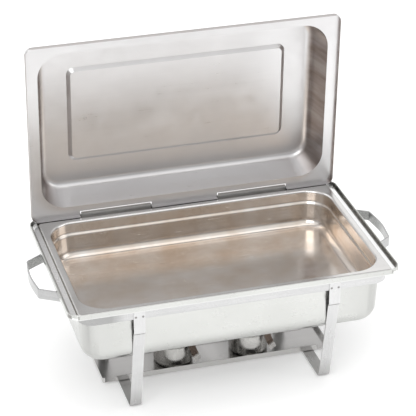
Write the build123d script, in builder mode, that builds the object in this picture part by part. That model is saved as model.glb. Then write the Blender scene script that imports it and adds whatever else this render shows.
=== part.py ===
from build123d import *
import math
import os

# Chafing dish food warmer: a drawn water pan hung in a strap stand, a 65 mm
# deep full-size food pan in it, a domed lid standing open on two rear lugs,
# and two fuel burners on a shallow tray that lies on the stand's skids.
# Millimetres, +Z up, the stand's skids rest on z = 0, -Y is the serving side.

# ---------------------------------------------------------------- dimensions
YC = -41.07             # Y of the pan centre, so that the box centre is at Y = 0

sheet = 0.9             # drawn pan sheet
strap_t = 2.0           # stand strap thickness

# food pan (full size, 65 deep)
rim_z = 218.7           # top of the food pan flange
food_l, food_w, food_r = 530.0, 325.0, 5.0
food_skirt = 5.6        # turned-down edge of the flange
food_open_l, food_open_w, food_open_r = 507.0, 302.0, 46.0
food_depth = 65.0
shoulder_drop = 20.0    # top of the stacking shoulder below the flange
shoulder_step = 3.5     # the shoulder leans in at 45 degrees by this much
shoulder_r = 5.2        # and runs into the walls with this radius

# water pan
land_z = 212.8          # flat land that carries the food pan
wp_half_l = 281.2
wp_front, wp_back = 164.9, 179.3
wp_r = 21.0
bead_z = 219.5          # top of the raised outer edge
wp_lip_z = 210.0        # lower end of its outer face
bead_in_l0, bead_in_l1 = 276.3, 279.3
bead_in_f0, bead_in_f1 = 163.0, 163.8
bead_in_b0, bead_in_b1 = 176.0, 178.0
collar_l, collar_w, collar_r = 2 * 259.2, 2 * 154.6, 42.0
wp_step_z = 203.0
wp_top_l, wp_top_w, wp_top_r = 2 * 258.4, 2 * 152.8, 40.0
wp_bot_l, wp_bot_w, wp_bot_r = 2 * 254.2, 2 * 144.8, 36.0
wp_bottom = 108.0
wp_fillet = 28.0

# lid, in its own frame: s up the open lid, n behind its flange
lean = 3.83             # the open lid leans this far towards the front
lid_y, lid_z = 171.96, 218.1
lid_l, lid_h, lid_r = 551.5, 336.0, 13.0
lid_lip = 6.8
lid_t = 1.0
rec_l, rec_h, rec_r = 511.0, 298.2, 45.0
rec_s0 = 20.8           # bottom of the recess above the lid's lower edge
dome_depth = 56.0
dome_taper = 11.5
emb_l, emb_h, emb_r = 391.0, 181.0, 14.0
emb_s = 171.5
emb_up = 5.0
emb_taper = 52.0
notch_x0, notch_x1, notch_s = 60.0, 189.0, 9.5

# rear lugs the lid stands on
lug_y0, lug_y1, lug_top = 170.4, 171.9, 226.4

# stand
ring_l, ring_w, ring_r = 524.0, 319.0, 24.0
ring_z0, ring_z1 = 194.0, 211.5
leg_x, leg_w = 166.0, 19.0
leg_top = 207.7
crease_z = 166.2
crease_step = 3.7
foot_y = 117.0

# tray
tray_l, tray_w, tray_r = 408.0, 88.0, 3.0
tray_y = 8.0
tray_h = 10.5
tray_t = 1.0

# burners
burn_x, burn_y = 68.0, 8.0
cup_r, cup_h, cup_t = 34.3, 39.6, 0.8
lever_deg = -50.0

# side handles
hand_z0, hand_z1 = 192.0, 209.6
hand_t = 2.4

os.makedirs("parts", exist_ok=True)


def flat(z, x=0.0, y=0.0):
    """Horizontal plane at height z, origin over a point given from the pan centre."""
    return Plane(origin=(x, YC + y, z), x_dir=(1, 0, 0), z_dir=(0, 0, 1))


def profile_yz(x=0.0):
    """Plane across the stand: local x runs along +Y, local y along +Z."""
    return Plane(origin=(x, YC, 0), x_dir=(0, 1, 0), z_dir=(1, 0, 0))


_ln = math.radians(lean)


def lid_plane(n=0.0):
    """Plane of the open lid, n behind its flange; local x = X, local y = s, normal to the front."""
    oy = YC + lid_y + n * math.cos(_ln)
    oz = lid_z + n * math.sin(_ln)
    return Plane(origin=(0, oy, oz), x_dir=(1, 0, 0), z_dir=(0, -math.cos(_ln), -math.sin(_ln)))


# ---------------------------------------------------------------- stand ring
with BuildPart() as stand_ring:
    with BuildSketch(flat(ring_z0)):
        RectangleRounded(ring_l, ring_w, ring_r)
        RectangleRounded(ring_l - 2 * strap_t, ring_w - 2 * strap_t, ring_r - strap_t, mode=Mode.SUBTRACT)
    extrude(amount=ring_z1 - ring_z0)
    fillet(stand_ring.edges().filter_by(Plane.XY).group_by(Axis.Z)[0], radius=0.5)
stand_ring.part.label = "stand_ring"


# ---------------------------------------------------------------- leg straps
# One strap is bent into a U: down the ring's front face, a small set at the
# crease, then leaning in to the foot, along the floor and up the back again.
def leg_points():
    yo = ring_w / 2 + strap_t / 2
    return [
        (-yo, leg_top),
        (-yo, crease_z + 1.9),
        (-(yo - crease_step), crease_z - 1.9),
        (-foot_y, strap_t / 2),
        (foot_y, strap_t / 2),
        (yo - crease_step, crease_z - 1.9),
        (yo, crease_z + 1.9),
        (yo, leg_top),
    ]


def leg_strap(xc):
    with BuildPart() as leg:
        with BuildSketch(profile_yz(xc)):
            with BuildLine():
                FilletPolyline(*leg_points(), radius=[1.6, 1.6, 9.0, 9.0, 1.6, 1.6])
                offset(amount=strap_t / 2, kind=Kind.INTERSECTION)
            make_face()
        extrude(amount=leg_w / 2, both=True)
        # two shallow spot-weld dimples on each upright
        for side in (-1, 1):
            with BuildSketch(Plane(origin=(xc, YC + side * (ring_w / 2 + strap_t), 198.8),
                                   x_dir=(1, 0, 0), z_dir=(0, side, 0))):
                with Locations((-6.0, 0), (6.0, 0)):
                    Circle(1.5)
            extrude(amount=-0.5, mode=Mode.SUBTRACT)
    return leg


leg_strap_left = leg_strap(-leg_x)
leg_strap_left.part.label = "leg_strap_left"
leg_strap_right = leg_strap(leg_x)
leg_strap_right.part.label = "leg_strap_right"


# ---------------------------------------------------------------- fuel tray
with BuildPart() as fuel_tray:
    with BuildSketch(flat(strap_t, y=tray_y)):
        RectangleRounded(tray_l, tray_w, tray_r)
    extrude(amount=tray_h)
    fillet(fuel_tray.edges().filter_by(Plane.XY).group_by(Axis.Z)[0], radius=1.8)
    with BuildSketch(flat(strap_t + tray_t, y=tray_y)):
        RectangleRounded(tray_l - 2 * tray_t, tray_w - 2 * tray_t, tray_r - tray_t)
    extrude(amount=tray_h, mode=Mode.SUBTRACT)
    # corner reliefs between the long walls and the end walls
    with BuildSketch(flat(strap_t + tray_t + 0.9, y=tray_y)):
        for sx in (-1, 1):
            for sy in (-1, 1):
                with Locations((sx * 190.0, sy * tray_w / 2)):
                    Rectangle(18.8, 6.0)
    extrude(amount=tray_h, mode=Mode.SUBTRACT)
    # spot-weld dimples over the two skids
    with BuildSketch(flat(strap_t + tray_t, y=tray_y)):
        with Locations((-leg_x, -30), (-leg_x, 30), (leg_x, -30), (leg_x, 30)):
            Circle(1.8)
    extrude(amount=-0.35, mode=Mode.SUBTRACT)
fuel_tray.part.label = "fuel_tray"


# ---------------------------------------------------------------- side handles
# Flat strap bent to a bowed trapezium, its two feet welded to the ring's end.
def carry_handle(sx, yc, reach, bow):
    # points for the right-hand end, as distance outward and along Y
    x0 = ring_l / 2 + hand_t / 2
    pts = [(x0, -95), (x0, -77), (reach - hand_t / 2, -49), (reach + bow - hand_t / 2, 0),
           (reach - hand_t / 2, 49), (x0, 77), (x0, 95)]
    pts = [(sx * a, b) for a, b in pts]
    with BuildPart() as handle:
        with BuildSketch(flat(hand_z0, y=yc)):
            with BuildLine():
                FilletPolyline(*pts, radius=[4.0, 5.0, 160.0, 5.0, 4.0])
                offset(amount=hand_t / 2, kind=Kind.INTERSECTION)
            make_face()
        extrude(amount=hand_z1 - hand_z0)
        fillet(handle.edges().filter_by(Plane.XY), radius=0.5)
    return handle


carry_handle_left = carry_handle(-1, 4.0, 308.0, 6.0)
carry_handle_left.part.label = "carry_handle_left"
carry_handle_right = carry_handle(1, 11.0, 308.0, 6.0)
carry_handle_right.part.label = "carry_handle_right"


# ---------------------------------------------------------------- water pan
# The hollow of the pan, used to open the drawn shell.
with BuildPart() as water_hollow:
    with BuildSketch(flat(land_z + 2)):
        RectangleRounded(collar_l - 2 * sheet, collar_w - 2 * sheet, collar_r - sheet)
    extrude(amount=-(land_z + 2 - wp_step_z - sheet))
    with BuildSketch(flat(wp_step_z + sheet)):
        RectangleRounded(wp_top_l - 2 * sheet, wp_top_w - 2 * sheet, wp_top_r - sheet)
    with BuildSketch(flat(wp_bottom + sheet)):
        RectangleRounded(wp_bot_l - 2 * sheet, wp_bot_w - 2 * sheet, wp_bot_r - sheet)
    loft(ruled=True)
    fillet(water_hollow.edges().filter_by(Plane.XY).group_by(Axis.Z)[0], radius=wp_fillet - sheet)

with BuildPart() as water_pan:
    # rim block with its raised outer edge
    wp_w = wp_front + wp_back
    wp_cy = (wp_back - wp_front) / 2
    with BuildSketch(flat(wp_lip_z, y=wp_cy)):
        RectangleRounded(2 * wp_half_l, wp_w, wp_r)
    extrude(amount=bead_z - wp_lip_z)
    fillet(water_pan.edges().filter_by(Plane.XY).group_by(Axis.Z)[-1], radius=0.9)
    # tray inside the raised edge, its walls opening upwards
    with BuildSketch(flat(land_z, y=(bead_in_b0 - bead_in_f0) / 2)):
        RectangleRounded(2 * bead_in_l0, bead_in_b0 + bead_in_f0, wp_r - 3.0)
    with BuildSketch(flat(bead_z + 0.01, y=(bead_in_b1 - bead_in_f1) / 2)):
        RectangleRounded(2 * bead_in_l1, bead_in_b1 + bead_in_f1, wp_r - 1.2)
    loft(ruled=True, mode=Mode.SUBTRACT)
    # open underside of the rim, behind the turned-down outer face
    with BuildSketch(flat(wp_lip_z - 1, y=wp_cy)):
        RectangleRounded(2 * (wp_half_l - sheet), wp_w - 2 * sheet, wp_r - sheet)
    extrude(amount=land_z - sheet - wp_lip_z + 1, mode=Mode.SUBTRACT)
    # collar and drawn body
    with BuildSketch(flat(land_z - 0.3)):
        RectangleRounded(collar_l, collar_w, collar_r)
    extrude(amount=-(land_z - 0.3 - wp_step_z))
    with BuildSketch(flat(wp_step_z)):
        RectangleRounded(wp_top_l, wp_top_w, wp_top_r)
    with BuildSketch(flat(wp_bottom)):
        RectangleRounded(wp_bot_l, wp_bot_w, wp_bot_r)
    loft(ruled=True)
    fillet(water_pan.edges().filter_by(Plane.XY).group_by(Axis.Z)[0], radius=wp_fillet)
    add(water_hollow.part, mode=Mode.SUBTRACT)
water_pan.part.label = "water_pan"


# ---------------------------------------------------------------- lid lugs
# Angle strips on the rear rim that pass up through the lid's two notches.
def lid_lug(sx):
    xc = sx * (notch_x0 + notch_x1) / 2
    with BuildPart() as lug:
        with BuildSketch(profile_yz(xc)):
            with BuildLine():
                Polyline((lug_y0, land_z), (175.2, land_z), (175.2, land_z + 1.2), (lug_y1, land_z + 1.2),
                         (lug_y1, lug_top), (lug_y0, lug_top), (lug_y0, land_z))
            make_face()
        extrude(amount=(notch_x1 - notch_x0) / 2 - 1.5, both=True)
        fillet(lug.edges().filter_by(Axis.Y).group_by(Axis.Z)[-1], radius=1.6)
    return lug


lid_lug_left = lid_lug(-1)
lid_lug_left.part.label = "lid_lug_left"
lid_lug_right = lid_lug(1)
lid_lug_right.part.label = "lid_lug_right"


# ---------------------------------------------------------------- food pan
with BuildPart() as food_hollow:
    in1 = shoulder_drop * math.tan(math.radians(2.0))
    in2 = in1 + shoulder_step
    low_z = rim_z - shoulder_drop - shoulder_step
    with BuildSketch(flat(rim_z)):
        RectangleRounded(food_open_l, food_open_w, food_open_r)
    extrude(amount=-shoulder_drop, taper=2.0)
    with BuildSketch(flat(rim_z - shoulder_drop)):
        RectangleRounded(food_open_l - 2 * in1, food_open_w - 2 * in1, food_open_r - in1)
    extrude(amount=-shoulder_step, taper=45.0)
    with BuildSketch(flat(low_z)):
        RectangleRounded(food_open_l - 2 * in2, food_open_w - 2 * in2, food_open_r - in2)
    extrude(amount=-(food_depth - sheet - shoulder_drop - shoulder_step), taper=5.0)
    fillet(food_hollow.edges().filter_by(Plane.XY).group_by(Axis.Z)[0], radius=16)
    shoulder = food_hollow.edges().filter_by(Plane.XY).filter_by_position(
        Axis.Z, low_z - 0.1, rim_z - shoulder_drop + 0.1)
    fillet(shoulder, radius=shoulder_r)
    with BuildSketch(flat(rim_z)):
        RectangleRounded(food_l + 10, food_w + 10, 10)
    extrude(amount=5)
    mouth = food_hollow.edges().filter_by(Plane.XY).filter_by_position(Axis.Z, rim_z - 0.1, rim_z + 0.1)
    mouth = mouth.filter_by(lambda e: abs(e.center().X) < food_open_l / 2 + 1 and abs(e.center().Y - YC) < food_open_w / 2 + 1)
    fillet(mouth, radius=3.6)

with BuildPart() as food_pan:
    drop = sheet * math.tan(math.radians(22.5))     # the outside of the shoulder sits this much lower
    with BuildSketch(flat(rim_z)):
        RectangleRounded(food_open_l + 2 * sheet, food_open_w + 2 * sheet, food_open_r + sheet)
    extrude(amount=-shoulder_drop - drop, taper=2.0)
    in1o = in1 + drop * math.tan(math.radians(2.0)) - sheet
    with BuildSketch(flat(rim_z - shoulder_drop - drop)):
        RectangleRounded(food_open_l - 2 * in1o, food_open_w - 2 * in1o, food_open_r - in1o)
    extrude(amount=-shoulder_step, taper=45.0)
    in2o = in1o + shoulder_step
    with BuildSketch(flat(low_z - drop)):
        RectangleRounded(food_open_l - 2 * in2o, food_open_w - 2 * in2o, food_open_r - in2o)
    extrude(amount=-(food_depth - shoulder_drop - shoulder_step - drop), taper=5.0)
    shoulder = food_pan.edges().filter_by(Plane.XY).filter_by_position(
        Axis.Z, low_z - drop - 0.1, rim_z - shoulder_drop - drop + 0.1)
    fillet(shoulder, radius=shoulder_r)
    fillet(food_pan.edges().filter_by(Plane.XY).group_by(Axis.Z)[0], radius=16 + sheet)
    with BuildSketch(flat(rim_z)):
        RectangleRounded(food_l, food_w, food_r)
    extrude(amount=-food_skirt)
    fillet(food_pan.edges().filter_by(Plane.XY).group_by(Axis.Z)[-1], radius=1.4)
    # hollow under the flange, behind its turned edge
    with BuildSketch(flat(rim_z - food_skirt - 0.1)):
        RectangleRounded(food_l - 2 * sheet, food_w - 2 * sheet, food_r - sheet)
        RectangleRounded(food_open_l + 2 * 4.4, food_open_w + 2 * 4.4, food_open_r + 3.0, mode=Mode.SUBTRACT)
    extrude(amount=food_skirt + 0.1 - sheet, mode=Mode.SUBTRACT)
    add(food_hollow.part, mode=Mode.SUBTRACT)
food_pan.part.label = "food_pan"


# ---------------------------------------------------------------- lid
s_mid = rec_s0 + rec_h / 2
with BuildPart() as lid_hollow:
    with BuildSketch(lid_plane(0)):
        with Locations((0, s_mid)):
            RectangleRounded(rec_l, rec_h, rec_r)
    extrude(amount=-dome_depth, taper=dome_taper)
    back = lid_hollow.faces().sort_by(Axis.Y)[-1]
    fillet(back.edges(), radius=13)
    with BuildSketch(lid_plane(dome_depth)):
        with Locations((0, emb_s)):
            RectangleRounded(emb_l, emb_h, emb_r)
    extrude(amount=emb_up, taper=emb_taper, mode=Mode.SUBTRACT)
    with BuildSketch(lid_plane(0)):
        with Locations((0, lid_h / 2)):
            RectangleRounded(lid_l - 2 * lid_t, lid_h - 2 * lid_t, lid_r - lid_t)
    extrude(amount=lid_lip + 3)

with BuildPart() as lid_shell:
    with BuildSketch(lid_plane(lid_t)):
        with Locations((0, lid_h / 2)):
            RectangleRounded(lid_l, lid_h, lid_r)
    extrude(amount=lid_t + lid_lip)
    fillet(lid_shell.faces().sort_by(Axis.Y)[-1].edges(), radius=1.2)
    with BuildSketch(lid_plane(0.5)):
        with Locations((0, s_mid)):
            RectangleRounded(rec_l + 2 * lid_t, rec_h + 2 * lid_t, rec_r + lid_t)
    extrude(amount=-(dome_depth + lid_t - 0.5), taper=dome_taper)
    back = lid_shell.faces().sort_by(Axis.Y)[-1]
    fillet(back.edges(), radius=13 + lid_t)
    with BuildSketch(lid_plane(dome_depth + lid_t)):
        with Locations((0, emb_s)):
            RectangleRounded(emb_l, emb_h, emb_r)
    extrude(amount=emb_up, taper=emb_taper, mode=Mode.SUBTRACT)
    add(lid_hollow.part, mode=Mode.SUBTRACT)
    # two notches in the lower edge for the rear lugs
    with BuildSketch(lid_plane(lid_t + 1)):
        for sx in (-1, 1):
            with Locations((sx * (notch_x0 + notch_x1) / 2, notch_s / 2 - 1.0)):
                RectangleRounded(notch_x1 - notch_x0, notch_s + 2.0, 0.9)
    extrude(amount=lid_lip + lid_t + 2, mode=Mode.SUBTRACT)
lid_shell.part.label = "lid_shell"

# strap handle on the outside of the lid, in the pressed panel
grip_n = dome_depth - emb_up + lid_t
grip_s = 172.5
with BuildPart() as lid_handle:
    hp = Plane(origin=(0, YC + lid_y + grip_n * math.cos(_ln) - grip_s * math.sin(_ln),
                       lid_z + grip_n * math.sin(_ln) + grip_s * math.cos(_ln)),
               x_dir=(1, 0, 0), z_dir=(0, -math.sin(_ln), math.cos(_ln)))
    with BuildSketch(hp):
        # local x = X, local y points out behind the lid
        with BuildLine():
            FilletPolyline((-88, 1.1), (-62, 1.1), (-52, 33), (52, 33), (62, 1.1), (88, 1.1), radius=[5, 9, 9, 5])
            offset(amount=1.1, kind=Kind.INTERSECTION)
        make_face()
    extrude(amount=11, both=True)
    fillet(lid_handle.edges().filter_by(lambda e: e.geom_type == GeomType.LINE and abs((e @ 1 - e @ 0).X) > 40), radius=0.6)
lid_handle.part.label = "lid_handle"


# ---------------------------------------------------------------- burners
z_seat = strap_t + tray_t + 0.2    # underside of the cups, standing on the tray floor


def burner_cup(x):
    zc = z_seat
    with BuildPart() as cup:
        with BuildSketch(Plane(origin=(x, YC + burn_y, 0), x_dir=(1, 0, 0), z_dir=(0, -1, 0))):
            with BuildLine():
                Polyline((0, zc), (cup_r - 4.5, zc), (cup_r - 1.2, zc + 1.6), (cup_r, zc + 5.0), (cup_r, zc + cup_h - 1.8),
                         (cup_r + 1.0, zc + cup_h - 1.5), (cup_r + 1.3, zc + cup_h - 0.6), (cup_r + 0.7, zc + cup_h),
                         (cup_r - 0.4, zc + cup_h), (cup_r - cup_t, zc + cup_h - 0.9), (cup_r - cup_t, zc + 5.2),
                         (cup_r - cup_t - 1.0, zc + 2.2), (cup_r - 4.8, zc + cup_t), (0, zc + cup_t), (0, zc))
            make_face()
        revolve(axis=Axis((x, YC + burn_y, 0), (0, 0, 1)))
    return cup


cover_z = z_seat + cup_h - 4.0
shutter_z = cover_z + 1.0 + 0.3


kidney_r, kidney_w = 18.5, 11.0
kidney_arcs = [CenterArc((0, 0), kidney_r, start, 76) for start in (10, 190)]


def burner_cover(x):
    with BuildPart() as cover:
        with BuildSketch(flat(cover_z, x=x, y=burn_y)):
            Circle(cup_r - cup_t)
            for arc in kidney_arcs:
                SlotArc(arc, kidney_w, mode=Mode.SUBTRACT)
            Circle(2.05, mode=Mode.SUBTRACT)
        extrude(amount=1.0)
    return cover


def burner_shutter(x):
    with BuildPart() as shutter:
        with BuildSketch(flat(shutter_z, x=x, y=burn_y)):
            Circle(cup_r - cup_t - 1.2)
            for arc in kidney_arcs:
                SlotArc(arc, kidney_w, mode=Mode.SUBTRACT)
            Circle(2.05, mode=Mode.SUBTRACT)
        extrude(amount=0.9)
    return shutter


# Lever: a strap welded on the shutter, over the cup's rim and down outside it.
def burner_lever(x):
    a = math.radians(lever_deg)
    top = z_seat + cup_h + 1.7
    with BuildPart() as lever:
        pl = Plane(origin=(x, YC + burn_y, 0), x_dir=(math.cos(a), math.sin(a), 0), z_dir=(math.sin(a), -math.cos(a), 0))
        with BuildSketch(pl):
            with BuildLine():
                FilletPolyline((24.6, shutter_z + 0.9 + 0.6), (29.2, shutter_z + 0.9 + 0.6), (31.4, top), (38.6, top),
                               (45.0, top - 13.5), (53.5, 18.6), radius=[1.6, 1.6, 2.0, 2.0])
                offset(amount=0.6, kind=Kind.INTERSECTION)
            make_face()
        extrude(amount=8.0, both=True)
    return lever


# Rivet: pin through cover and shutter with a head on each side.
def burner_rivet(x):
    with BuildPart() as rivet:
        with BuildSketch(flat(cover_z - 1.5, x=x, y=burn_y)):
            Circle(4.0)
        extrude(amount=1.2)
        with BuildSketch(flat(cover_z - 0.4, x=x, y=burn_y)):
            Circle(2.0)
        extrude(amount=shutter_z + 0.9 - cover_z + 0.5)
        with BuildSketch(flat(shutter_z + 0.9, x=x, y=burn_y)):
            Circle(4.0)
        extrude(amount=1.4)
        fillet(rivet.edges().filter_by(Plane.XY).group_by(Axis.Z)[-1], radius=1.0)
    return rivet


pieces = [stand_ring, leg_strap_left, leg_strap_right, fuel_tray, carry_handle_left, carry_handle_right,
          water_pan, lid_lug_left, lid_lug_right, food_pan, lid_shell, lid_handle]
for side, x in (("left", -burn_x), ("right", burn_x)):
    for name, maker in (("burner_cup", burner_cup), ("burner_cover", burner_cover), ("burner_shutter", burner_shutter),
                        ("burner_lever", burner_lever), ("burner_rivet", burner_rivet)):
        piece = maker(x)
        piece.part.label = name + "_" + side
        pieces.append(piece)

for piece in pieces:
    export_step(piece.part, "parts/" + piece.part.label + ".step")

boxes = [p.part.bounding_box() for p in pieces]
print("X %.2f..%.2f" % (min(b.min.X for b in boxes), max(b.max.X for b in boxes)))
print("Y %.2f..%.2f" % (min(b.min.Y for b in boxes), max(b.max.Y for b in boxes)))
print("Z %.2f..%.2f" % (min(b.min.Z for b in boxes), max(b.max.Z for b in boxes)))
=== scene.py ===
import math

import bpy
from mathutils import Matrix, Vector

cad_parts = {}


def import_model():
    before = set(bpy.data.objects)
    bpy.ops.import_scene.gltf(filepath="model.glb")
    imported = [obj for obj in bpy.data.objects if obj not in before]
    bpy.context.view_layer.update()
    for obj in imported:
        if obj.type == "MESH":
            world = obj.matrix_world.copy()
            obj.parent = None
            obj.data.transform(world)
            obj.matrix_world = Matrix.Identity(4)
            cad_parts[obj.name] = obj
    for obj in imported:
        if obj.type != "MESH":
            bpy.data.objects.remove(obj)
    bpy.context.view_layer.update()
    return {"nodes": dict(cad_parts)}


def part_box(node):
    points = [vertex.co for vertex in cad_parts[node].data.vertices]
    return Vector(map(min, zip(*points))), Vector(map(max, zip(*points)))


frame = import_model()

nodes = frame["nodes"]
scene = bpy.context.scene

# centre of the pans, read from the frame
pan_lo, pan_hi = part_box("food_pan")
PAN_Y = (pan_lo.y + pan_hi.y) / 2


# ------------------------------------------------------------------ camera
def make_camera():
    az, el, roll = math.radians(-15.79), math.radians(27.40), math.radians(-0.37)
    dist = 3.1055
    target = Vector((-0.00517, PAN_Y, 0.29187))
    back = Vector((math.sin(az) * math.cos(el), -math.cos(az) * math.cos(el), math.sin(el)))
    fwd = -back
    right = fwd.cross(Vector((0, 0, 1))).normalized()
    up = right.cross(fwd)
    r2 = math.cos(roll) * right + math.sin(roll) * up
    u2 = -math.sin(roll) * right + math.cos(roll) * up
    data = bpy.data.cameras.new("cam")
    data.sensor_width = 36.0
    data.lens = 1853.51 * 36.0 / 416.0
    data.clip_start, data.clip_end = 0.05, 60
    cam = bpy.data.objects.new("cam", data)
    m = Matrix.Identity(4)
    for i, v in enumerate((r2, u2, back)):
        for k in range(3):
            m[k][i] = v[k]
    loc = target + back * dist
    for k in range(3):
        m[k][3] = loc[k]
    cam.matrix_world = m
    scene.collection.objects.link(cam)
    scene.camera = cam


make_camera()
scene.view_settings.view_transform = "Standard"
scene.view_settings.look = "None"
scene.view_settings.exposure = 0.0
scene.view_settings.gamma = 1.0


# ------------------------------------------------------------------ materials
class Net:
    """Small helper for building a node tree."""

    def __init__(self, name):
        self.mat = bpy.data.materials.new(name)
        self.mat.use_nodes = True
        self.nt = self.mat.node_tree
        self.nt.nodes.clear()
        self.out = self.n("ShaderNodeOutputMaterial")
        self.bsdf = self.n("ShaderNodeBsdfPrincipled")
        self.link(self.bsdf.outputs["BSDF"], self.out.inputs["Surface"])
        self.coord = self.n("ShaderNodeTexCoord")

    def n(self, kind, **props):
        node = self.nt.nodes.new(kind)
        for k, v in props.items():
            setattr(node, k, v)
        return node

    def link(self, a, b):
        self.nt.links.new(a, b)

    def mapped(self, scale, rot=(0, 0, 0), loc=(0, 0, 0), source=None):
        m = self.n("ShaderNodeMapping")
        m.inputs["Scale"].default_value = scale
        m.inputs["Rotation"].default_value = rot
        m.inputs["Location"].default_value = loc
        self.link(source or self.coord.outputs["Object"], m.inputs["Vector"])
        return m.outputs["Vector"]

    def noise(self, vector, scale=1.0, detail=2.0, rough=0.5, dist=0.0):
        t = self.n("ShaderNodeTexNoise")
        t.inputs["Scale"].default_value = scale
        t.inputs["Detail"].default_value = detail
        t.inputs["Roughness"].default_value = rough
        t.inputs["Distortion"].default_value = dist
        self.link(vector, t.inputs["Vector"])
        return t.outputs["Fac"]

    def ramp(self, fac, stops):
        r = self.n("ShaderNodeValToRGB")
        e = r.color_ramp.elements
        while len(e) < len(stops):
            e.new(0.5)
        for el, (p, c) in zip(e, stops):
            el.position = p
            el.color = (c[0], c[1], c[2], 1) if hasattr(c, "__len__") else (c, c, c, 1)
        self.link(fac, r.inputs["Fac"])
        return r.outputs["Color"]

    def math(self, op, a, b=None, clamp=False):
        m = self.n("ShaderNodeMath", operation=op, use_clamp=clamp)
        for i, v in enumerate((a, b)):
            if v is None:
                continue
            if isinstance(v, (int, float)):
                m.inputs[i].default_value = v
            else:
                self.link(v, m.inputs[i])
        return m.outputs[0]

    def span(self, v, lo, hi, a, b):
        m = self.n("ShaderNodeMapRange")
        for k, x in (("From Min", lo), ("From Max", hi), ("To Min", a), ("To Max", b)):
            m.inputs[k].default_value = x
        self.link(v, m.inputs["Value"])
        return m.outputs["Result"]

    def mix(self, fac, a, b, blend="MIX"):
        m = self.n("ShaderNodeMix", data_type="RGBA", blend_type=blend)
        for sock, v in ((m.inputs[0], fac), (m.inputs[6], a), (m.inputs[7], b)):
            if isinstance(v, (int, float)):
                sock.default_value = v
            elif isinstance(v, (tuple, list)):
                sock.default_value = (v[0], v[1], v[2], 1)
            else:
                self.link(v, sock)
        return m.outputs[2]

    def bump(self, height, distance, strength=1.0, normal=None):
        b = self.n("ShaderNodeBump")
        b.inputs["Distance"].default_value = distance
        b.inputs["Strength"].default_value = strength
        self.link(height, b.inputs["Height"])
        if normal is not None:
            self.link(normal, b.inputs["Normal"])
        return b.outputs["Normal"]


def steel(name, light, dark, rough, lines, seed=0.0, brush=0.5, wave=0.0006, wave_scale=7.0,
          line_bump=0.00002, scratch=0.5, stain=None, stain_amount=0.0, over=None):
    """Sheet steel: brushed along one direction, clouded by handling, with scratches and a little sheet waviness."""
    g = Net(name)
    fine = g.noise(g.mapped(lines, loc=(seed, seed * 1.7, seed * 0.6)), 1.0, 4.0, 0.62)
    coarse = g.noise(g.mapped([v * 0.22 for v in lines], loc=(seed + 3.1, seed, 1.3)), 1.0, 2.0, 0.5)
    cloud = g.noise(g.mapped((1, 1, 1), loc=(seed * 2.3, 0.4, seed)), 9.0, 3.0, 0.55)
    smudge = g.noise(g.mapped((1, 1, 1), loc=(seed, seed * 0.2, 5.0)), 34.0, 4.0, 0.6, 0.8)
    # colour: cloudy light and dark, streaked by the brushing
    streak = g.math("ADD", g.math("MULTIPLY", fine, 0.6), g.math("MULTIPLY", coarse, 0.4))
    tone = g.math("ADD", g.math("MULTIPLY", streak, brush), g.math("MULTIPLY", cloud, 1.0 - brush))
    col = g.ramp(tone, [(0.30, dark), (0.68, light)])
    if stain is not None:
        col = g.mix(g.math("MULTIPLY", g.span(smudge, 0.45, 0.75, 0.0, 1.0), stain_amount), col, stain)
    # scratches: two families of long thin lines
    s1 = g.noise(g.mapped((38, 900, 900), rot=(0.3, 0.5, 0.45), loc=(seed, 2, 0)), 1.0, 1.0, 0.3)
    s2 = g.noise(g.mapped((900, 30, 900), rot=(0.7, 0.2, -0.3), loc=(0, seed, 4)), 1.0, 1.0, 0.3)
    marks = g.math("ADD", g.span(s1, 0.70, 0.76, 0.0, 1.0), g.span(s2, 0.71, 0.77, 0.0, 1.0), clamp=True)
    r = g.math("ADD", g.span(streak, 0.3, 0.7, rough[0], rough[1]), g.span(smudge, 0.4, 0.7, -0.02, 0.05))
    r = g.math("ADD", r, g.math("MULTIPLY", marks, 0.10 * scratch), clamp=True)
    if over is not None:
        col = over(g, col)
    g.link(col, g.bsdf.inputs["Base Color"])
    g.link(r, g.bsdf.inputs["Roughness"])
    g.bsdf.inputs["Metallic"].default_value = 1.0
    wav = g.noise(g.mapped((1, 1, 1), loc=(seed * 0.7, 1.0, 2.0)), wave_scale, 1.0, 0.4)
    nrm = g.bump(wav, wave)
    nrm = g.bump(streak, line_bump, 1.0, nrm)
    nrm = g.bump(marks, 0.00001, scratch, nrm)
    g.link(nrm, g.bsdf.inputs["Normal"])
    return g.mat


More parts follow.
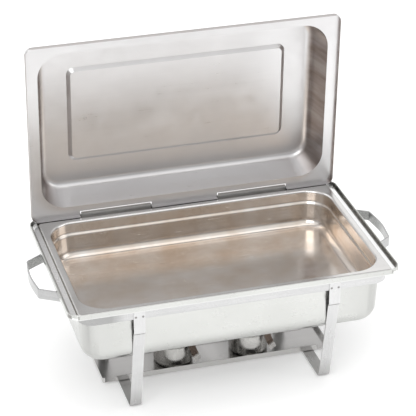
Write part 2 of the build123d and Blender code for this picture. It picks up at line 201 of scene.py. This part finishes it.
def turned(name, light, dark, rough, seed=0.0, centre_x=0.068, centre_y=0.0, pitch=1600.0, side_shade=0.0):
    """Pressed round steel with fine rings about its own axis, with painted shade on the sides that face left and
    right when side_shade is set; works for the left and the right piece alike.
    """
    g = Net(name)
    sep = g.n("ShaderNodeSeparateXYZ")
    g.link(g.coord.outputs["Object"], sep.inputs[0])
    x = g.math("SUBTRACT", g.math("ABSOLUTE", sep.outputs["X"]), centre_x)
    y = g.math("SUBTRACT", sep.outputs["Y"], centre_y)
    rad = g.math("SQRT", g.math("ADD", g.math("MULTIPLY", x, x), g.math("MULTIPLY", y, y)))
    comb = g.n("ShaderNodeCombineXYZ")
    g.link(g.math("MULTIPLY", rad, pitch), comb.inputs["X"])
    g.link(g.math("MULTIPLY", sep.outputs["Z"], pitch), comb.inputs["Y"])
    comb.inputs["Z"].default_value = seed
    rings = g.noise(comb.outputs[0], 1.0, 3.0, 0.6)
    cloud = g.noise(g.mapped((1, 1, 1), loc=(seed, 0.4, seed)), 55.0, 3.0, 0.55)
    soot = g.noise(g.mapped((1, 1, 1), loc=(seed, 9.4, seed)), 120.0, 5.0, 0.7)
    tone = g.math("ADD", g.math("MULTIPLY", rings, 0.45), g.math("MULTIPLY", cloud, 0.55))
    col = g.ramp(tone, [(0.32, dark), (0.66, light)])
    # painted shade on the sides that face left and right
    if side_shade > 0.0:
        geo = g.n("ShaderNodeNewGeometry")
        nsep = g.n("ShaderNodeSeparateXYZ")
        g.link(geo.outputs["Normal"], nsep.inputs[0])
        col = g.mix(g.span(g.math("ABSOLUTE", nsep.outputs["X"]), 0.45, 0.95, 0.0, side_shade), col, (0.10, 0.085, 0.075))
    g.link(col, g.bsdf.inputs["Base Color"])
    g.link(g.math("ADD", g.span(tone, 0.3, 0.7, rough[0], rough[1]), g.span(soot, 0.5, 0.8, 0.0, 0.10)), g.bsdf.inputs["Roughness"])
    g.bsdf.inputs["Metallic"].default_value = 1.0
    g.link(g.bump(rings, 0.00002), g.bsdf.inputs["Normal"])
    return g.mat


def axes(g):
    sep = g.n("ShaderNodeSeparateXYZ")
    g.link(g.coord.outputs["Object"], sep.inputs[0])
    return sep.outputs["X"], sep.outputs["Y"], sep.outputs["Z"]


def leg_welds_and_shade(g, col):
    """Two dark spot welds near the top of each upright, painted shade at its crease, and painted shade darkening it
    towards the feet.
    """
    x, y, z = axes(g)
    dx = g.math("SUBTRACT", g.math("ABSOLUTE", g.math("SUBTRACT", g.math("ABSOLUTE", x), 0.166)), 0.006)
    dz = g.math("SUBTRACT", z, 0.1988)
    d = g.math("SQRT", g.math("ADD", g.math("MULTIPLY", dx, dx), g.math("MULTIPLY", dz, dz)))
    weld = g.span(d, 0.0013, 0.0024, 0.85, 0.0)
    # painted shade along the crease
    crease = g.span(g.math("ABSOLUTE", g.math("SUBTRACT", z, 0.1655)), 0.0007, 0.0021, 0.6, 0.0)
    # painted shade towards the feet
    low = g.span(z, 0.045, 0.0, 0.0, 0.45)
    return g.mix(g.math("MAXIMUM", g.math("MAXIMUM", weld, crease), low), col, (0.20, 0.19, 0.18))


def lid_painted_shade(g, col):
    """Painted shade inside the lid: the steep end walls darker and warmer than its flat panel, greyer towards its
    foot and its top rim, and dark along its outer edges.
    """
    x, y, z = axes(g)
    geo = g.n("ShaderNodeNewGeometry")
    sep = g.n("ShaderNodeSeparateXYZ")
    g.link(geo.outputs["Normal"], sep.inputs[0])
    p = g.math("MULTIPLY", x, sep.outputs["X"])
    tone = g.noise(g.mapped((10, 10, 70)), 1.0, 2.0, 0.5)
    wall = g.math("MULTIPLY", g.span(p, -0.05, -0.19, 0.0, 1.0), g.span(tone, 0.3, 0.7, 0.75, 1.0))
    foot = g.span(z, 0.345, 0.225, 0.0, 0.55)
    rim = g.span(z, 0.40, 0.56, 0.0, 0.30)
    # painted shade towards the foot and the top rim
    col = g.mix(g.math("MAXIMUM", foot, rim), col, (0.42, 0.405, 0.41))
    edge = g.math("MAXIMUM", g.span(g.math("ABSOLUTE", x), 0.2747, 0.2756, 0.0, 0.75), g.span(z, 0.5512, 0.5526, 0.0, 0.5))
    # painted shade on the end walls and outer edges
    return g.mix(g.math("MAXIMUM", wall, edge), col, (0.21, 0.165, 0.145))


def lug_shade(g, col):
    """Light ridged foot, with a dark band where the strip stands inside the lid's notch."""
    x, y, z = axes(g)
    return g.mix(g.span(z, 0.2226, 0.2240, 0.0, 0.60), col, (0.26, 0.24, 0.23))


def normal(g):
    geo = g.n("ShaderNodeNewGeometry")
    sep = g.n("ShaderNodeSeparateXYZ")
    g.link(geo.outputs["Normal"], sep.inputs[0])
    return sep.outputs["X"], sep.outputs["Y"], sep.outputs["Z"]


def tray_floor_shade(g, col):
    """Painted shade and painted dark reflection on the tray's upward faces, making the floor darker than its folded
    walls and darkest around the burners.
    """
    x, y, z = axes(g)
    nx, ny, nz = normal(g)
    near = g.span(g.math("ABSOLUTE", g.math("SUBTRACT", g.math("ABSOLUTE", x), 0.068)), 0.034, 0.062, 0.92, 0.62)
    return g.mix(g.math("MULTIPLY", g.span(nz, 0.4, 0.8, 0.0, 1.0), near), col, (0.27, 0.265, 0.26))


def ring_end_shade(g, col):
    """Painted shade on the ring's strap round its left-hand corners."""
    x, y, z = axes(g)
    return g.mix(g.span(x, -0.188, -0.212, 0.0, 0.62), col, (0.24, 0.24, 0.235))


def lever_tip(g, col):
    """Dark brown lever, lighter towards its tip."""
    x, y, z = axes(g)
    return g.mix(g.span(z, 0.0275, 0.0245, 0.0, 0.9), col, (0.72, 0.70, 0.68))


def pan_shade_and_light(g, col):
    """Painted shade in the channel beside the food pan, under the rim, on the drawn corners, towards the ends and
    along the bottom bend; painted light on the inner faces below the flange and a painted highlight on the land.
    """
    x, y, z = axes(g)
    geo = g.n("ShaderNodeNewGeometry")
    sep = g.n("ShaderNodeSeparateXYZ")
    g.link(geo.outputs["Normal"], sep.inputs[0])
    corner = g.math("ABSOLUTE", g.math("MULTIPLY", sep.outputs["X"], sep.outputs["Y"]))
    streak = g.noise(g.mapped((60, 60, 2)), 1.0, 2.0, 0.5)
    corner = g.math("MULTIPLY", g.span(corner, 0.12, 0.46, 0.0, 1.0), g.span(streak, 0.35, 0.65, 0.40, 0.95))
    low = g.span(z, 0.140, 0.112, 0.0, 0.55)
    under = g.span(g.math("ABSOLUTE", g.math("SUBTRACT", z, 0.2055)), 0.0030, 0.0060, 0.55, 0.0)
    outside = g.span(sep.outputs["Z"], 0.02, -0.02, 0.0, 1.0)
    ends = g.span(g.math("ABSOLUTE", x), 0.150, 0.245, 0.0, 0.32)
    col = g.mix(g.math("MULTIPLY", outside, g.math("MAXIMUM", g.math("MAXIMUM", corner, g.math("MAXIMUM", low, ends)), under)), col, (0.40, 0.40, 0.39))
    # painted light on the inner faces below the flange
    inside = g.math("MULTIPLY", g.math("SUBTRACT", 1.0, outside), g.span(z, 0.2118, 0.2100, 0.0, 1.0))
    col = g.mix(inside, col, (0.90, 0.90, 0.90))
    slot = g.math("MULTIPLY", g.span(z, 0.2110, 0.2122, 0.0, 1.0), g.span(z, 0.2172, 0.2186, 1.0, 0.0))
    ax = g.math("ABSOLUTE", x)
    front = g.math("MULTIPLY", g.math("SUBTRACT", y, PAN_Y), -1.0)
    beside = g.span(ax, 0.2655, 0.2666, 0.85, 0.0)
    foot = g.math("MULTIPLY", g.span(ax, 0.2754, 0.2762, 0.0, 0.6), g.span(ax, 0.2800, 0.2807, 1.0, 0.0))
    inner = g.math("MULTIPLY", slot, g.math("MULTIPLY", g.math("MAXIMUM", beside, foot), g.span(front, 0.1641, 0.1646, 1.0, 0.0)))
    # painted highlight on the land beside the food pan
    land = g.math("MULTIPLY", g.math("MULTIPLY", g.span(ax, 0.2664, 0.2672, 0.0, 1.0), g.span(ax, 0.2746, 0.2754, 1.0, 0.0)),
                  g.span(z, 0.2134, 0.2140, 1.0, 0.0))
    col = g.mix(g.math("MULTIPLY", land, g.span(z, 0.2105, 0.2118, 0.0, 1.0)), col, (0.96, 0.96, 0.96))
    return g.mix(inner, col, (0.10, 0.085, 0.075))


def food_pan_reflection_and_shade(g, col):
    """Below the flange the pan carries a clouded, painted warm reflection, with a painted shade line along its front
    lip.
    """
    x, y, z = axes(g)
    # painted warm reflection below the flange
    cloud = g.noise(g.mapped((1, 1, 0.5), loc=(2, 5, 1)), 16.0, 3.0, 0.6)
    amount = g.math("MULTIPLY", g.span(z, 0.2165, 0.2125, 0.0, 1.0), g.span(cloud, 0.3, 0.7, 0.25, 0.85))
    col = g.mix(amount, col, (0.58, 0.48, 0.39))
    # painted shade line along the front lip
    lip = g.span(g.math("MULTIPLY", g.math("SUBTRACT", y, PAN_Y), -1.0), 0.1608, 0.1614, 0.0, 0.85)
    return g.mix(lip, col, (0.10, 0.085, 0.08))


cup_lo, cup_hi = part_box("burner_cup_right")
CUP_X, CUP_Y = (cup_lo.x + cup_hi.x) / 2, (cup_lo.y + cup_hi.y) / 2

M = {
    "ring": steel("ring_steel", (0.68, 0.68, 0.68), (0.50, 0.50, 0.50), (0.20, 0.32), (14, 14, 1300), 1.0, over=ring_end_shade),
    "leg": steel("leg_steel", (0.74, 0.74, 0.74), (0.58, 0.58, 0.58), (0.24, 0.36), (1300, 12, 12), 2.0, over=leg_welds_and_shade),
    "tray": steel("tray_steel", (0.74, 0.73, 0.72), (0.56, 0.55, 0.54), (0.10, 0.20), (12, 1300, 1300), 3.0, wave=0.0012, wave_scale=11.0, over=tray_floor_shade),
    "handle": steel("handle_steel", (0.56, 0.56, 0.56), (0.38, 0.38, 0.38), (0.20, 0.32), (14, 14, 1400), 4.0),
    "pan": steel("water_pan_steel", (0.67, 0.675, 0.655), (0.60, 0.605, 0.585), (0.20, 0.28), (5, 5, 900), 5.0, brush=0.3,
                 line_bump=0.000006, scratch=0.0, wave=0.0004, wave_scale=4.0, over=pan_shade_and_light),
    "lug": steel("lug_steel", (0.94, 0.94, 0.94), (0.66, 0.66, 0.66), (0.34, 0.46), (8, 700, 700), 6.0, brush=0.8, line_bump=0.00008, over=lug_shade),
    "food": steel("food_pan_steel", (0.82, 0.81, 0.80), (0.68, 0.67, 0.66), (0.14, 0.25), (10, 1100, 1100), 7.0,
                  brush=0.35, over=food_pan_reflection_and_shade),
    "lid": steel("lid_steel", (0.85, 0.845, 0.845), (0.75, 0.745, 0.745), (0.28, 0.38), (10, 1000, 1000), 8.0,
                 brush=0.22, line_bump=0.000008, scratch=0.3, over=lid_painted_shade),
    "cup": turned("burner_cup_steel", (0.78, 0.77, 0.75), (0.52, 0.51, 0.49), (0.20, 0.30), 1.0, CUP_X, CUP_Y, side_shade=0.5),
    "disc": turned("burner_disc_steel", (0.72, 0.71, 0.70), (0.46, 0.45, 0.43), (0.16, 0.28), 2.0, CUP_X, CUP_Y),
    "lever": steel("lever_steel", (0.20, 0.155, 0.125), (0.08, 0.06, 0.05), (0.20, 0.34), (600, 600, 30), 9.0, over=lever_tip),
    "rivet": turned("rivet_steel", (0.70, 0.70, 0.70), (0.50, 0.50, 0.50), (0.2, 0.3), 3.0, CUP_X, CUP_Y),
}
LOOK = {
    "stand_ring": "ring", "leg_strap_left": "leg", "leg_strap_right": "leg", "fuel_tray": "tray",
    "carry_handle_left": "handle", "carry_handle_right": "handle", "water_pan": "pan",
    "lid_lug_left": "lug", "lid_lug_right": "lug", "food_pan": "food", "lid_shell": "lid", "lid_handle": "handle",
}
for side in ("left", "right"):
    LOOK["burner_cup_" + side] = "cup"
    LOOK["burner_cover_" + side] = "disc"
    LOOK["burner_shutter_" + side] = "disc"
    LOOK["burner_lever_" + side] = "lever"
    LOOK["burner_rivet_" + side] = "rivet"
for name, look in LOOK.items():
    me = nodes[name].data
    me.materials.clear()
    me.materials.append(M[look])


# ------------------------------------------------------------------ studio
def floor():
    g = Net("floor_paint")
    cloud = g.noise(g.mapped((1, 1, 1)), 1.3, 2.0, 0.5)
    g.link(g.ramp(cloud, [(0.3, (0.90, 0.90, 0.90)), (0.7, (0.93, 0.93, 0.93))]), g.bsdf.inputs["Base Color"])
    g.bsdf.inputs["Roughness"].default_value = 0.9
    g.bsdf.inputs["Emission Color"].default_value = (1.0, 1.0, 1.0, 1.0)
    g.bsdf.inputs["Emission Strength"].default_value = 0.18
    me = bpy.data.meshes.new("floor")
    n, r = 96, 14.0
    verts = [(0, 0, -0.0005)] + [(r * math.cos(2 * math.pi * i / n), r * math.sin(2 * math.pi * i / n), -0.0005) for i in range(n)]
    me.from_pydata(verts, [], [(0, 1 + i, 1 + (i + 1) % n) for i in range(n)])
    me.materials.append(g.mat)
    o = bpy.data.objects.new("floor", me)
    scene.collection.objects.link(o)


def area(name, loc, aim, size, power, color=(1, 1, 1), size_y=None):
    d = bpy.data.lights.new(name, "AREA")
    d.shape = "RECTANGLE"
    d.size, d.size_y = size, size_y or size
    d.energy = power
    d.color = color
    o = bpy.data.objects.new(name, d)
    o.location = loc
    o.rotation_euler = (Vector(aim) - Vector(loc)).to_track_quat("-Z", "Y").to_euler()
    scene.collection.objects.link(o)
    return o


def world():
    w = bpy.data.worlds.new("studio")
    scene.world = w
    w.use_nodes = True
    nt = w.node_tree
    nt.nodes.clear()
    out = nt.nodes.new("ShaderNodeOutputWorld")
    bg = nt.nodes.new("ShaderNodeBackground")
    co = nt.nodes.new("ShaderNodeTexCoord")
    sep = nt.nodes.new("ShaderNodeSeparateXYZ")
    ramp = nt.nodes.new("ShaderNodeValToRGB")
    back = nt.nodes.new("ShaderNodeMapRange")
    mix = nt.nodes.new("ShaderNodeMix")
    mix.data_type = "RGBA"
    nt.links.new(co.outputs["Generated"], sep.inputs[0])
    nt.links.new(sep.outputs["Z"], ramp.inputs["Fac"])
    e = ramp.color_ramp.elements
    stops = [(0.0, 0.62), (0.10, 0.48), (0.30, 0.40), (0.50, 1.05), (0.75, 1.20), (1.0, 0.80)]
    while len(e) < len(stops):
        e.new(0.5)
    for el, (p, v) in zip(e, stops):
        el.position = p
        el.color = (v, v, v, 1)
    # the side behind the object is the bright one
    for k, v in (("From Min", 0.30), ("From Max", 0.80), ("To Min", 0.0), ("To Max", 1.0)):
        back.inputs[k].default_value = v
    nt.links.new(sep.outputs["Y"], back.inputs["Value"])
    nt.links.new(back.outputs["Result"], mix.inputs[0])
    nt.links.new(ramp.outputs["Color"], mix.inputs[6])
    mix.inputs[7].default_value = (1.15, 1.15, 1.15, 1)
    nt.links.new(mix.outputs[2], bg.inputs["Color"])
    bg.inputs["Strength"].default_value = 0.9
    nt.links.new(bg.outputs[0], out.inputs[0])


floor()
world()
area("key", (-1.6, -2.4, 2.6), (0, 0, 0.2), 2.2, 34)
area("top", (0.2, 0.3, 3.0), (0, 0, 0), 3.0, 24)
area("fill", (2.6, -1.4, 1.6), (0, 0, 0.25), 1.8, 12)
